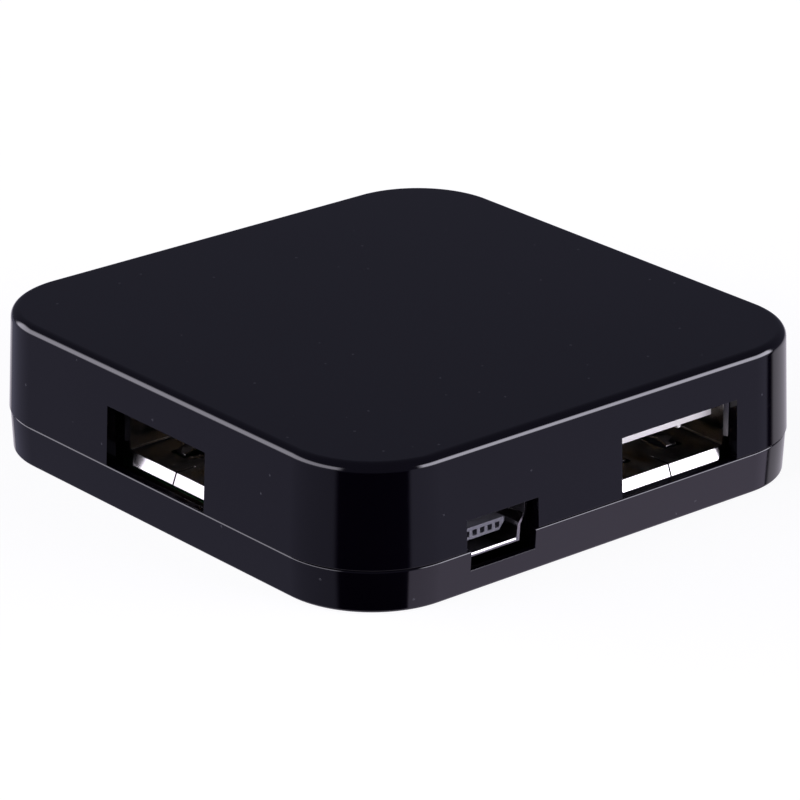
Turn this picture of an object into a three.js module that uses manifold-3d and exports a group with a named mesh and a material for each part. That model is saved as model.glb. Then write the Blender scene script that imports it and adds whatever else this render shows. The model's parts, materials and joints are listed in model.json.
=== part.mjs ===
// Four-port USB hub: a square two-part plastic casing with a circuit board inside.
// Millimetres, +Z up. The origin is the middle of the underside, so the hub stands on z = 0.
// One USB-A port looks out at the front (-Y), the back (+Y) and the left (-X) in the middle of the
// side. The right side (+X) has the fourth USB-A port and, beside it, the mini-B upstream inlet.

import * as THREE from 'three';
import { mergeVertices } from 'three/addons/utils/BufferGeometryUtils.js';
import Module from 'manifold-3d';

const wasm = await Module();
wasm.setup();

// ---------------------------------------------------------------- driving dimensions

// Casing
const WIDTH = 52;                  // across the seam, the same both ways
const HEIGHT = 12.7;
const CORNER_RADIUS = 8.6;         // plan corner at the seam
const SEAM_Z = 3.7;
const SEAM_GAP = 0.15;
const TOP_DRAFT = 0.04;            // inward lean of the upper wall, mm per mm
const TOP_EDGE_RADIUS = 0.8;
const STEP_AT_SEAM = 0.1;          // how far the upper shell stands proud of the lower one
const BASE_INSET = 0.15;           // inward lean of the lower wall, over its whole height
const BASE_EDGE = 0.25;            // broken lower edge
const WALL = 1.4;
const ROOF = 1.5;
const FLOOR = 0.9;
const PORT_WALL = 0.85;            // wall left in front of a connector
const CORNER_STEPS = 7;            // an arc gets twice as many segments
const EDGE_STEPS = 4;

// Posts of the lower shell that press into sockets of the upper shell
const POST_OFFSET = 18.4;
const POST_RADIUS = 0.95;
const SOCKET_RADIUS = 2.1;
const SOCKET_BORE = 1.25;
const POST_TOP = 8;

// Registration rib just inside the seam
const RIB_THICK = 0.8;
const RIB_HEIGHT = 1.6;
const CLEARANCE = 0.3;

// Circuit board
const BOARD_TOP = 2.55;
const BOARD_THICK = 0.8;
const BOARD_HALF = 23;
const BOARD_CORNER = 6.4;

// USB-A receptacle, in its own frame: x across, y outward with 0 at the front edge, z as the hub
const PLUG_WIDTH = 12.5;           // opening
const PLUG_HEIGHT = 5.12;
const CAVITY_Z = 4.6;              // floor of the opening
const SHEET = 0.3;                 // sheet metal
const SHELL_BEND = 0.55;           // outer bend of the sheet metal
const USB_A_DEPTH = 13.4;
const LIP_DEPTH = 0.45;            // the lips lean outward over the last bit of the sheet
const LIP_FLARE = 1;
const SIDE_FLARE = 0.2;
const LIP_HALF = 5.75;
const SIDE_LIP_HALF = 1.7;
const LIP_ROOT = 0.2;              // overlap of a lip with the tube behind it
const JOINT_HALF = 0.09;           // seam of the bent strip, along the middle of its floor
const JOINT_LENGTH = 2.4;
const LEG_OUTLINE = [[-11.6, 6], [-11.6, 2], [-11.1, 1.35], [-10.1, 1.35], [-9.6, 2], [-9.6, 6]];
const SPRING_X = 2.9;              // the two leaf springs of a face sit this far off its middle
const SPRING_HALF = 0.6;
const SPRING_THICK = 0.25;
const SPRING_BOW = [[-8.3, 0], [-7.8, 0], [-5.2, 0.5], [-4.4, 0.55], [-3.7, 0.42], [-3.1, 0.1]];
const WINDOW_HALF = 0.95;          // window that a leaf spring is cut free in
const WINDOW_DEPTHS = [-7.8, -2.75];
const TONGUE_WIDTH = 11.14;
const TONGUE_THICK = 1.84;
const TONGUE_Z = 7.2;              // underside
const TONGUE_SETBACK = 1.15;
const TONGUE_CHAMFER = 0.3;
const KEY_X = 1.87;                // small key under the front edge of the tongue
const KEY_SIZE = [0.4, 0.4, 0.24];
const REAR_BLOCK = 10.2;           // where the plastic behind the opening starts
const CONTACT_X = [-3.5, -1, 1, 3.5];
const CONTACT_WIDTH = 1;
const CONTACT_THICK = 0.25;
const CONTACT_PROUD = 0.13;
const CONTACT_SETBACK = 0.8;
const TAIL_Y = -12.7;

// Openings in the casing
const USB_A_CUT_WIDTH = 13;
const USB_A_CUT_TOP = 9;
const MINI_CUT_WIDTH = 7.62;
const MINI_CUT_TOP = 6.36;
const MINI_SILL_WIDTH = 6.86;
const MINI_SILL_Z = 1.9;
const MINI_CUT_SHIFT = -0.45;      // the inlet sits a little off the middle of its opening
const MINI_SILL_SHIFT = -0.61;

// Where the ports sit: turn is the heading of the opening, recess its depth behind the wall
const PORTS = [
  { name: 'front', turn: 180, along: 0, recess: 1.92 },
  { name: 'right', turn: -90, along: -8.63, recess: 1.1 },
  { name: 'back', turn: 0, along: 0, recess: 1.92 },
  { name: 'left', turn: 90, along: 0, recess: 1.92 },
];
const MINI = { turn: -90, along: 11.32, recess: 1.05 };

// Mini-B receptacle, in the same kind of frame
const MINI_FLOOR = 2.9;
const MINI_ROOF = 5.9;
const MINI_HALF_TOP = 3.6;
const MINI_HALF_FLOOR = 2.8;
const MINI_STEP_Z = [3.9, 5];      // where the sides step out
const MINI_DEPTH = 8.6;
const MINI_LEGS = [-2.2, -7.4];
const MINI_TONGUE_HALF = 2.35;
const MINI_TONGUE_Z = [3.55, 4.6];
const MINI_TONGUE_SETBACK = 1;
const MINI_REAR_BLOCK = 6.2;
const MINI_PITCH = 0.8;
const MINI_PINS = [-2, -1, 0, 1, 2];
const PIN_SETBACK = 1.2;
const PIN_WIDTH = 0.26;
const PIN_Z = [3.95, 4.15];
const PIN_SLOT = 0.46;
const PIN_SLOT_Z = [3.8, 4.3];

const HALF = WIDTH / 2;
const MINI_POCKET_HALF = MINI_HALF_TOP + SHEET + 0.4;

// ---------------------------------------------------------------- materials

function finish(color, roughness, metalness) {
  return new THREE.MeshStandardMaterial({ color, roughness, metalness });
}
const CASING = finish(0x17161c, 0.22, 0);
const TIN = finish(0xd9d6d0, 0.28, 1);
const WHITE_PLASTIC = finish(0xeeeae2, 0.5, 0);
const GREY_PLASTIC = finish(0x8b8a92, 0.5, 0);
const GOLD = finish(0xd8b15a, 0.3, 1);
const LAMINATE = finish(0x1d5a34, 0.45, 0);
const CHIP = finish(0x1b1b1d, 0.6, 0);
const CAN = finish(0xbfc2c6, 0.3, 1);
const CERAMIC = finish(0xa98a66, 0.5, 0);
const RESISTOR = finish(0x26282b, 0.5, 0);
const FUSE = finish(0x3c6e4d, 0.5, 0);

// ---------------------------------------------------------------- shape helpers

const AXES = {
  x: [[0, 1, 0], [0, 0, 1], [1, 0, 0]],
  y: [[1, 0, 0], [0, 0, 1], [0, -1, 0]],
  z: [[1, 0, 0], [0, 1, 0], [0, 0, 1]],
};

// Pushes a flat outline along an axis. The outline holds (y, z), (x, z) or (x, y) in turn.
function prism(outline, axis, from, to, curveSegments = 4) {
  const low = Math.min(from, to);
  const high = Math.max(from, to);
  const push = { depth: high - low, bevelEnabled: false, curveSegments };
  const geometry = new THREE.ExtrudeGeometry(outline, push);
  const basis = AXES[axis].map((row) => new THREE.Vector3(...row));
  geometry.applyMatrix4(new THREE.Matrix4().makeBasis(...basis));
  geometry.translate(axis === 'x' ? low : 0, axis === 'y' ? high : 0, axis === 'z' ? low : 0);
  return geometry;
}

function box(x, y, z) {
  const geometry = new THREE.BoxGeometry(x[1] - x[0], y[1] - y[0], z[1] - z[0]);
  return geometry.translate((x[0] + x[1]) / 2, (y[0] + y[1]) / 2, (z[0] + z[1]) / 2);
}

function post(x, y, radius, z0, z1, segments = 16) {
  const geometry = new THREE.CylinderGeometry(radius, radius, z1 - z0, segments);
  return geometry.rotateX(Math.PI / 2).translate(x, y, (z0 + z1) / 2);
}

function polygon(points) {
  return new THREE.Shape(points.map(([a, b]) => new THREE.Vector2(a, b)));
}

function roundedRect(a0, a1, b0, b1, radius) {
  const shape = new THREE.Shape();
  const quarter = Math.PI / 2;
  shape.absarc(a1 - radius, b0 + radius, radius, -quarter, 0);
  shape.absarc(a1 - radius, b1 - radius, radius, 0, quarter);
  shape.absarc(a0 + radius, b1 - radius, radius, quarter, 2 * quarter);
  shape.absarc(a0 + radius, b0 + radius, radius, 2 * quarter, 3 * quarter);
  return shape;
}

// A solid skinned over rounded squares, each given as height, half width and corner radius.
function loft(rings) {
  const loops = rings.map(([, half, radius]) =>
    roundedRect(-half, half, -half, half, radius).getPoints(CORNER_STEPS).slice(0, -1));
  const count = loops[0].length;
  const points = loops.flatMap((loop, level) => loop.flatMap((p) => [p.x, p.y, rings[level][0]]));
  const top = (loops.length - 1) * count;
  const faces = [];
  for (let level = 0; level < loops.length - 1; level += 1) {
    for (let i = 0; i < count; i += 1) {
      const a = level * count + i;
      const b = level * count + ((i + 1) % count);
      faces.push(a, b, b + count, a, b + count, a + count);
    }
  }
  for (const [a, b, c] of THREE.ShapeUtils.triangulateShape(loops[0], [])) {
    faces.push(a, c, b, top + a, top + b, top + c);
  }
  const geometry = new THREE.BufferGeometry();
  geometry.setAttribute('position', new THREE.Float32BufferAttribute(points, 3));
  return geometry.setIndex(faces);
}

function solid(geometry) {
  const bare = geometry.clone();
  bare.deleteAttribute('normal');
  bare.deleteAttribute('uv');
  const merged = mergeVertices(bare, 1e-5);
  return new wasm.Manifold(new wasm.Mesh({
    numProp: 3,
    vertProperties: new Float32Array(merged.attributes.position.array),
    triVerts: new Uint32Array(merged.index.array),
  }));
}

function surface(manifold) {
  const mesh = manifold.getMesh();
  const geometry = new THREE.BufferGeometry();
  geometry.setAttribute('position', new THREE.BufferAttribute(mesh.vertProperties, 3));
  geometry.setIndex(new THREE.BufferAttribute(mesh.triVerts, 1));
  geometry.computeVertexNormals();
  return geometry;
}

// Joins the geometries in `add`, then cuts those in `cut` away.
function shaped(add, cut = []) {
  let result = solid(add[0]);
  for (const geometry of add.slice(1)) result = result.add(solid(geometry));
  for (const geometry of cut) result = result.subtract(solid(geometry));
  return surface(result);
}

function ordered(a, b) {
  return [Math.min(a, b), Math.max(a, b)];
}

function named(name, geometry, material) {
  const mesh = new THREE.Mesh(geometry, material);
  mesh.name = name;
  return mesh;
}

// Turns a geometry from a port's own frame into the frame of the hub.
function placed(geometry, port) {
  return geometry.rotateZ(THREE.MathUtils.degToRad(port.turn));
}

// ---------------------------------------------------------------- casing

function ring(z, half) {
  return [z, half, CORNER_RADIUS - (HALF - half)];
}

function cornerPosts(radius, z0, z1) {
  const corners = [[1, 1], [-1, 1], [-1, -1], [1, -1]];
  return corners.map(([sx, sy]) => post(sx * POST_OFFSET, sy * POST_OFFSET, radius, z0, z1));
}

// A box in front of a port, between two depths behind the seam line of its wall.
function atPort(port, halfWidth, near, far, z0, z1, shift = 0) {
  const middle = port.along + shift;
  return placed(box([middle - halfWidth, middle + halfWidth], [HALF - far, HALF - near], [z0, z1]), port);
}

function topShell() {
  const foot = SEAM_Z + SEAM_GAP / 2;
  const wallTop = HEIGHT - TOP_EDGE_RADIUS;
  const lean = (z) => TOP_DRAFT * (z - foot);
  const outer = [ring(foot, HALF), ring(wallTop, HALF - lean(wallTop))];
  for (let i = 1; i <= EDGE_STEPS; i += 1) {
    const angle = (i / EDGE_STEPS) * Math.PI / 2;
    const inset = TOP_EDGE_RADIUS * (1 - Math.cos(angle));
    outer.push(ring(wallTop + TOP_EDGE_RADIUS * Math.sin(angle), HALF - lean(wallTop) - inset));
  }
  const ceiling = HEIGHT - ROOF;
  const hollow = loft([ring(foot - 1, HALF - WALL), ring(ceiling, HALF - WALL - lean(ceiling))]);
  const shell = shaped([loft(outer)], [hollow]);
  const sockets = cornerPosts(SOCKET_RADIUS, BOARD_TOP + CLEARANCE, ceiling + 0.5);
  const bores = cornerPosts(SOCKET_BORE, 0, POST_TOP + CLEARANCE);
  const openings = PORTS.flatMap((port) => [
    atPort(port, USB_A_CUT_WIDTH / 2, -1, WALL + 0.5, 0, USB_A_CUT_TOP),
    atPort(port, USB_A_CUT_WIDTH / 2 + 1, PORT_WALL + lean(SEAM_Z + 4), WALL + 1, 0, ceiling - 0.3),
  ]);
  openings.push(
    atPort(MINI, MINI_CUT_WIDTH / 2, -1, WALL + 0.5, 0, MINI_CUT_TOP, MINI_CUT_SHIFT),
    atPort(MINI, MINI_POCKET_HALF, PORT_WALL, WALL + 1, 0, MINI_CUT_TOP + 0.7),
  );
  return named('top_shell', shaped([shell, ...sockets], [...bores, ...openings]), CASING);
}

// The rib opens behind each connector, over this depth and up to this height.
const RIB_CUT_DEPTH = 3.5;
const RIB_CUT_TOP = 7;

function bottomShell() {
  const rim = SEAM_Z - SEAM_GAP / 2;
  const top = HALF - STEP_AT_SEAM;
  const outer = loft([
    ring(0, top - BASE_INSET - BASE_EDGE),
    ring(BASE_EDGE, top - BASE_INSET),
    ring(rim, top),
  ]);
  const hollow = loft([ring(FLOOR, HALF - WALL), ring(rim + 1, HALF - WALL)]);
  const ribOuter = HALF - WALL - CLEARANCE;
  const ribTop = rim + RIB_HEIGHT;
  const rib = shaped([loft([ring(FLOOR - 0.2, ribOuter), ring(ribTop, ribOuter)])],
    [loft([ring(0, ribOuter - RIB_THICK), ring(ribTop + 1, ribOuter - RIB_THICK)])]);
  // The rib joins the wall below the rim, where the wall is thickened up to it.
  const web = shaped([loft([ring(FLOOR - 0.2, HALF - WALL + 0.2), ring(rim - 0.4, HALF - WALL + 0.2)])],
    [loft([ring(0, ribOuter - 0.2), ring(rim + 1, ribOuter - 0.2)])]);
  const ribCuts = PORTS.map((port) =>
    atPort(port, USB_A_CUT_WIDTH / 2 + 1, PORT_WALL, RIB_CUT_DEPTH, BOARD_TOP, RIB_CUT_TOP));
  ribCuts.push(
    atPort(MINI, MINI_POCKET_HALF, PORT_WALL, RIB_CUT_DEPTH, FLOOR, RIB_CUT_TOP),
    atPort(MINI, MINI_SILL_WIDTH / 2, -1, RIB_CUT_DEPTH, MINI_SILL_Z, RIB_CUT_TOP, MINI_SILL_SHIFT),
  );
  const tray = shaped([shaped([outer], [hollow]), rib, web], ribCuts);
  const seats = cornerPosts(SOCKET_RADIUS, FLOOR - 0.2, BOARD_TOP - BOARD_THICK - CLEARANCE / 2);
  const posts = cornerPosts(POST_RADIUS, FLOOR - 0.2, POST_TOP);
  return named('bottom_shell', shaped([tray, ...seats, ...posts]), CASING);
}

// ---------------------------------------------------------------- USB-A receptacle

const CAVITY_TOP = CAVITY_Z + PLUG_HEIGHT;
const CAVITY_HALF = PLUG_WIDTH / 2;

// Section of a lip that leans away from the opening: [outward, away from the middle] pairs, for a
// face of the opening that lies `level` off the middle.
function lipProfile(level, flare) {
  const root = -LIP_DEPTH;
  const slant = Math.hypot(LIP_DEPTH, flare);
  const back = -SHEET * flare / slant;
  const backRise = SHEET * LIP_DEPTH / slant;
  return [
    [root - LIP_ROOT, level], [root, level], [0, level + flare],
    [back, level + flare + backRise], [root, level + SHEET], [root - LIP_ROOT, level + SHEET],
  ];
}

function topAndBottomLips() {
  const plan = roundedRect(-LIP_HALF, LIP_HALF, -LIP_DEPTH - 0.9, 0, LIP_DEPTH);
  const mask = solid(prism(plan, 'z', 0, HEIGHT));
  const upper = lipProfile(0, LIP_FLARE);
  return [[CAVITY_TOP, 1], [CAVITY_Z, -1]].map(([level, sign]) => {
    const outline = upper.map(([y, z]) => [y, level + sign * z]);
    return surface(solid(prism(polygon(outline), 'x', -LIP_HALF, LIP_HALF)).intersect(mask));
  });
}

function sideLips() {
  const middle = (CAVITY_Z + CAVITY_TOP) / 2;
  const profile = lipProfile(CAVITY_HALF, SIDE_FLARE);
  return [1, -1].map((sign) => {
    const outline = profile.map(([y, x]) => [sign * x, y]);
    return prism(polygon(outline), 'z', middle - SIDE_LIP_HALF, middle + SIDE_LIP_HALF);
  });
}

// Leaf spring that grips the plug: cut free on three sides and bowed into the opening.
function gripSpring(x, level, sign) {
  const inner = SPRING_BOW.map(([y, rise]) => [y, level + sign * rise]);
  const outer = SPRING_BOW.map(([y, rise]) => [y, level + sign * (rise - SPRING_THICK)]).reverse();
  return prism(polygon([...inner, ...outer]), 'x', x - SPRING_HALF, x + SPRING_HALF);
}

function gripWindow(x, z) {
  return box([x - WINDOW_HALF, x + WINDOW_HALF], WINDOW_DEPTHS, [z - SHEET, z + SHEET]);
}

function usbAShell(port) {
  const outerHalf = CAVITY_HALF + SHEET;
  const outer = roundedRect(-outerHalf, outerHalf, CAVITY_Z - SHEET, CAVITY_TOP + SHEET, SHELL_BEND);
  const inner = roundedRect(-CAVITY_HALF, CAVITY_HALF, CAVITY_Z, CAVITY_TOP, SHELL_BEND - SHEET);
  const tube = prism(outer, 'y', -LIP_DEPTH, -USB_A_DEPTH, 2);
  const bore = prism(inner, 'y', 1, -USB_A_DEPTH - 1, 2);
  const legs = [1, -1].map((sign) =>
    prism(polygon(LEG_OUTLINE), 'x', sign * CAVITY_HALF, sign * outerHalf));
  const springs = [];
  const windows = [];
  for (const x of [-SPRING_X, SPRING_X]) {
    springs.push(gripSpring(x, CAVITY_Z, 1), gripSpring(x, CAVITY_TOP, -1));
    windows.push(gripWindow(x, CAVITY_Z - SHEET / 2), gripWindow(x, CAVITY_TOP + SHEET / 2));
  }
  // The strip is bent round and meets itself along the middle of the floor.
  const joint = box([-JOINT_HALF, JOINT_HALF], [-JOINT_LENGTH, 1], [CAVITY_Z - 2, CAVITY_Z + 0.2]);
  const rearFloor = box([-CAVITY_HALF + 0.4, CAVITY_HALF - 0.4], [-USB_A_DEPTH - 1, -REAR_BLOCK],
    [CAVITY_Z - 1, CAVITY_Z + 0.1]);
  const body = shaped([tube, ...topAndBottomLips(), ...sideLips(), ...legs],
    [bore, ...windows, joint, rearFloor]);
  return named(`usb_a_${port.name}_shell`, shaped([body, ...springs]), TIN);
}

const CONTACT_UNDER = TONGUE_Z - CONTACT_PROUD;
const GROOVE_HALF = CONTACT_WIDTH / 2 + 0.2;

function usbAInsulator(port) {
  const blockHalf = CAVITY_HALF - CLEARANCE;
  const tongueHalf = TONGUE_WIDTH / 2;
  const rear = -USB_A_DEPTH + 0.1;
  const front = -TONGUE_SETBACK;
  const top = TONGUE_Z + TONGUE_THICK;
  const tongue = prism(polygon([
    [rear + 1, TONGUE_Z], [front, TONGUE_Z], [front, top - TONGUE_CHAMFER],
    [front - TONGUE_CHAMFER, top], [rear + 1, top],
  ]), 'x', -tongueHalf, tongueHalf);
  const keyX = port.name === 'right' ? -KEY_X : KEY_X;
  const [keyWidth, keyDepth, keyDrop] = KEY_SIZE;
  const key = box([keyX - keyWidth / 2, keyX + keyWidth / 2], [front - keyDepth, front],
    [TONGUE_Z - keyDrop, TONGUE_Z + 0.1]);
  const block = box([-blockHalf, blockHalf], [rear, -REAR_BLOCK - CLEARANCE],
    [CAVITY_Z + CLEARANCE, CAVITY_TOP - CLEARANCE]);
  const foot = box([-blockHalf + 0.4, blockHalf - 0.4], [rear, -REAR_BLOCK - CLEARANCE],
    [BOARD_TOP + CLEARANCE, CAVITY_Z + 1]);
  const grooves = CONTACT_X.flatMap((x) => [
    box([x - GROOVE_HALF, x + GROOVE_HALF], [rear - 1, front - CONTACT_SETBACK + CONTACT_THICK],
      [TONGUE_Z - 0.5, CONTACT_UNDER + CONTACT_THICK + 0.2]),
    box([x - GROOVE_HALF, x + GROOVE_HALF], [rear - 1, TAIL_Y + CONTACT_THICK / 2 + 0.2],
      [0, CONTACT_UNDER + CONTACT_THICK + 0.2]),
  ]);
  // Between tongue and block the grooves stay open below, so the block keeps only its sides there.
  const body = shaped([tongue, key, block, foot], grooves);
  return named(`usb_a_${port.name}_insulator`, body, WHITE_PLASTIC);
}

function usbAContact(port, x, index) {
  const front = -TONGUE_SETBACK - CONTACT_SETBACK;
  const topZ = CONTACT_UNDER + CONTACT_THICK;
  const tailFront = TAIL_Y + CONTACT_THICK / 2;
  const tailBack = TAIL_Y - CONTACT_THICK / 2;
  const outline = polygon([
    [tailBack, BOARD_TOP - BOARD_THICK - 0.3], [tailFront, BOARD_TOP - BOARD_THICK - 0.3],
    [tailFront, CONTACT_UNDER - 0.2], [tailFront + 0.2, CONTACT_UNDER], [front, CONTACT_UNDER],
    [front + 0.15, CONTACT_UNDER + 0.15], [front + 0.1, topZ], [tailBack + 0.2, topZ],
    [tailBack, topZ - 0.2],
  ]);
  const strip = prism(outline, 'x', x - CONTACT_WIDTH / 2, x + CONTACT_WIDTH / 2);
  return named(`usb_a_${port.name}_contact_${index + 1}`, strip, GOLD);
}

function inPort(port, meshes) {
  const group = new THREE.Group();
  group.rotation.z = THREE.MathUtils.degToRad(port.turn);
  const inner = new THREE.Group();
  inner.position.set(port.along, HALF - port.recess, 0);
  inner.add(...meshes);
  group.add(inner);
  return group;
}

function usbAReceptacle(port) {
  const contacts = CONTACT_X.map((x, index) => usbAContact(port, x, index));
  return inPort(port, [usbAShell(port), usbAInsulator(port), ...contacts]);
}

// ---------------------------------------------------------------- mini-B receptacle

// The keyed opening: wide above, narrow below, with an S-shaped step down each side.
function miniOutline(grow) {
  const top = MINI_ROOF + grow;
  const floor = MINI_FLOOR - grow;
  const wide = MINI_HALF_TOP + grow;
  const narrow = MINI_HALF_FLOOR + grow;
  const [low, high] = MINI_STEP_Z;
  const right = [[narrow, floor], [narrow + 0.1, low], [wide - 0.08, high], [wide, top]];
  const left = right.map(([x, z]) => [-x, z]).reverse();
  return polygon([...right, ...left]);
}

function miniShell() {
  const tube = prism(miniOutline(SHEET), 'y', 0, -MINI_DEPTH);
  const bore = prism(miniOutline(0), 'y', 1, -MINI_DEPTH - 1);
  const outerHalf = MINI_HALF_TOP + SHEET;
  const legs = [1, -1].flatMap((sign) => MINI_LEGS.map((y) =>
    box(ordered(sign * MINI_HALF_TOP, sign * outerHalf), [y - 0.5, y + 0.5],
      [BOARD_TOP - BOARD_THICK - 0.3, MINI_ROOF - 0.4])));
  const rearHalf = MINI_HALF_FLOOR - 0.2;
  const rearFloor = box([-rearHalf, rearHalf], [-MINI_DEPTH - 1, -MINI_REAR_BLOCK], [0, MINI_FLOOR + 0.1]);
  return named('mini_b_shell', shaped([tube, ...legs], [bore, rearFloor]), TIN);
}

function miniInsulator() {
  const front = -MINI_TONGUE_SETBACK;
  const rear = -MINI_DEPTH + 0.1;
  const [under, over] = MINI_TONGUE_Z;
  const tongue = prism(polygon([
    [-MINI_TONGUE_HALF + 0.55, under], [MINI_TONGUE_HALF - 0.55, under],
    [MINI_TONGUE_HALF, over - 0.4], [MINI_TONGUE_HALF, over],
    [-MINI_TONGUE_HALF, over], [-MINI_TONGUE_HALF, over - 0.4],
  ]), 'y', front, rear + 1);
  const blockHalf = MINI_HALF_FLOOR - CLEARANCE;
  const block = box([-blockHalf, blockHalf], [rear, -MINI_REAR_BLOCK - CLEARANCE],
    [BOARD_TOP + 0.2, MINI_ROOF - CLEARANCE]);
  const slots = MINI_PINS.flatMap((step) => {
    const x = step * MINI_PITCH;
    const across = [x - PIN_SLOT / 2, x + PIN_SLOT / 2];
    return [
      box(across, [rear - 1, front + 1], PIN_SLOT_Z),
      box(across, [rear - 1, rear + 0.75], [0, PIN_SLOT_Z[1]]),
    ];
  });
  return named('mini_b_insulator', shaped([tongue, block], slots), GREY_PLASTIC);
}

function miniContact(step, index) {
  const x = step * MINI_PITCH;
  const [under, over] = PIN_Z;
  const front = -MINI_TONGUE_SETBACK - PIN_SETBACK;
  const tailFront = -MINI_DEPTH + 0.6;
  const tailBack = tailFront - 0.2;
  const tailEnd = BOARD_TOP - BOARD_THICK - 0.2;
  const outline = polygon([
    [tailBack, tailEnd], [tailFront, tailEnd], [tailFront, under], [front, under], [front, over],
    [tailBack, over],
  ]);
  const pin = prism(outline, 'x', x - PIN_WIDTH / 2, x + PIN_WIDTH / 2);
  return named(`mini_b_contact_${index + 1}`, pin, GOLD);
}

function miniReceptacle() {
  return inPort(MINI, [miniShell(), miniInsulator(), ...MINI_PINS.map(miniContact)]);
}

// ---------------------------------------------------------------- circuit board

function holeFor(port, x, y, halfX, halfY) {
  const depth = HALF - port.recess + y;
  const middle = port.along + x;
  return placed(box([middle - halfX, middle + halfX], [depth - halfY, depth + halfY], [0, 5]), port);
}

function board() {
  const plate = prism(roundedRect(-BOARD_HALF, BOARD_HALF, -BOARD_HALF, BOARD_HALF, BOARD_CORNER), 'z',
    BOARD_TOP - BOARD_THICK, BOARD_TOP, 6);
  const holes = cornerPosts(SOCKET_BORE, 0, 5);
  const legX = CAVITY_HALF + SHEET / 2;
  const miniLegX = MINI_HALF_TOP + SHEET / 2;
  for (const port of PORTS) {
    for (const x of CONTACT_X) holes.push(holeFor(port, x, TAIL_Y, 0.72, 0.4));
    for (const x of [-legX, legX]) holes.push(holeFor(port, x, -10.6, 0.45, 1.3));
  }
  for (const y of MINI_LEGS) {
    for (const x of [-miniLegX, miniLegX]) holes.push(holeFor(MINI, x, y, 0.45, 0.8));
  }
  holes.push(holeFor(MINI, 0, -MINI_DEPTH + 0.5, 2.1, 0.4));
  return named('circuit_board', shaped([plate], holes), LAMINATE);
}

// Anything soldered on top of the board stands a hair above it.
const SOLDER = 0.1;
const SEAT = BOARD_TOP + SOLDER;

const CONTROLLER_AT = [0, -2.5];
const CONTROLLER_SIZE = [10.2, 5.3, 1.7];
const LEADS_PER_SIDE = 14;
const LEAD_PITCH = 0.65;
const LEAD_HALF = 0.15;
// Section of a lead: distance from the side of the package, height above the solder.
const LEAD_SECTION = [
  [-0.1, 0.95], [-0.1, 0.75], [0.4, 0.75], [0.55, 0], [1.2, 0], [1.2, 0.18], [0.7, 0.18], [0.55, 0.95],
];

function hubController() {
  const [length, width, height] = CONTROLLER_SIZE;
  const [x0, y0] = CONTROLLER_AT;
  const body = box([x0 - length / 2, x0 + length / 2], [y0 - width / 2, y0 + width / 2],
    [SEAT + LEAD_HALF, SEAT + height]);
  const leads = [];
  for (let i = 0; i < LEADS_PER_SIDE; i += 1) {
    const x = x0 + (i - (LEADS_PER_SIDE - 1) / 2) * LEAD_PITCH;
    for (const sign of [1, -1]) {
      const section = LEAD_SECTION.map(([out, up]) => [y0 + sign * (width / 2 + out), SEAT + up]);
      leads.push(prism(polygon(section), 'x', x - LEAD_HALF, x + LEAD_HALF));
    }
  }
  const top = SEAT + height;
  const pinOneMark = post(x0 - length / 2 + 1, y0 - width / 2 + 1, 0.4, top - 0.15, top + 1);
  return named('hub_controller', shaped([body, ...leads], [pinOneMark]), CHIP);
}

const CRYSTAL_Y = 7.1;
const CRYSTAL_CAN = [10, 3.8, 3.4];        // length, width, height
const CRYSTAL_FLANGE = [11.2, 4.8, 0.5];

function crystal() {
  const steps = [CRYSTAL_CAN, CRYSTAL_FLANGE].map(([length, width, height]) => {
    const ends = width / 2 - 0.02;
    const plan = roundedRect(-length / 2, length / 2, CRYSTAL_Y - width / 2, CRYSTAL_Y + width / 2, ends);
    return prism(plan, 'z', SEAT, SEAT + height, 5);
  });
  return named('crystal', shaped(steps), CAN);
}

const BULK_RADIUS = 2.5;
const BULK_HEIGHT = 7.2;
const BULK_CRIMP = 0.25;

function bulkCapacitor(name, x, y) {
  const waist = BULK_RADIUS - BULK_CRIMP;
  const sunk = BULK_HEIGHT - 0.15;
  const profile = [
    [0, 0], [BULK_RADIUS, 0], [BULK_RADIUS, 0.7], [waist, 1], [waist, 1.2], [BULK_RADIUS, 1.5],
    [BULK_RADIUS, BULK_HEIGHT - 0.3], [BULK_RADIUS - 0.3, BULK_HEIGHT],
    [BULK_RADIUS - 0.8, BULK_HEIGHT], [BULK_RADIUS - 0.9, sunk], [0, sunk],
  ].map(([r, z]) => new THREE.Vector2(r, z));
  const can = new THREE.LatheGeometry(profile, 24).rotateX(Math.PI / 2).translate(x, y, SEAT);
  return named(name, shaped([can]), CAN);
}

// A chip component: a plain middle with slightly thicker metal-capped ends.
function chipPart(name, x, y, size, cap, material) {
  const [length, width, height] = size;
  const step = 0.04;
  const middle = box([x - length / 2 + cap, x + length / 2 - cap],
    [y - width / 2 + step, y + width / 2 - step], [SEAT + step, SEAT + height - step]);
  const ends = [-1, 1].map((sign) =>
    box(ordered(x + sign * length / 2, x + sign * (length / 2 - cap - 0.02)),
      [y - width / 2, y + width / 2], [SEAT, SEAT + height]));
  return named(name, shaped([middle, ...ends]), material);
}

const CERAMIC_CAPACITORS = [[-8.2, -2.5], [8.2, -2.5], [8.2, 7], [-8.2, 7]];
const RESISTORS = [[-3.8, 2.2], [-1.3, 2.2], [1.3, 2.2], [3.8, 2.2]];

function boardParts() {
  const parts = [
    hubController(),
    crystal(),
    bulkCapacitor('bulk_capacitor_1', -13, 12.6),
    bulkCapacitor('bulk_capacitor_2', -13, -12.6),
    chipPart('resettable_fuse', 12.2, -15.6, [4.5, 3.2, 0.9], 0.6, FUSE),
  ];
  CERAMIC_CAPACITORS.forEach(([x, y], i) => {
    parts.push(chipPart(`ceramic_capacitor_${i + 1}`, x, y, [2, 1.25, 0.9], 0.4, CERAMIC));
  });
  RESISTORS.forEach(([x, y], i) => {
    parts.push(chipPart(`resistor_${i + 1}`, x, y, [1.6, 0.8, 0.45], 0.3, RESISTOR));
  });
  return parts;
}

// ---------------------------------------------------------------- assembly

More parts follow.
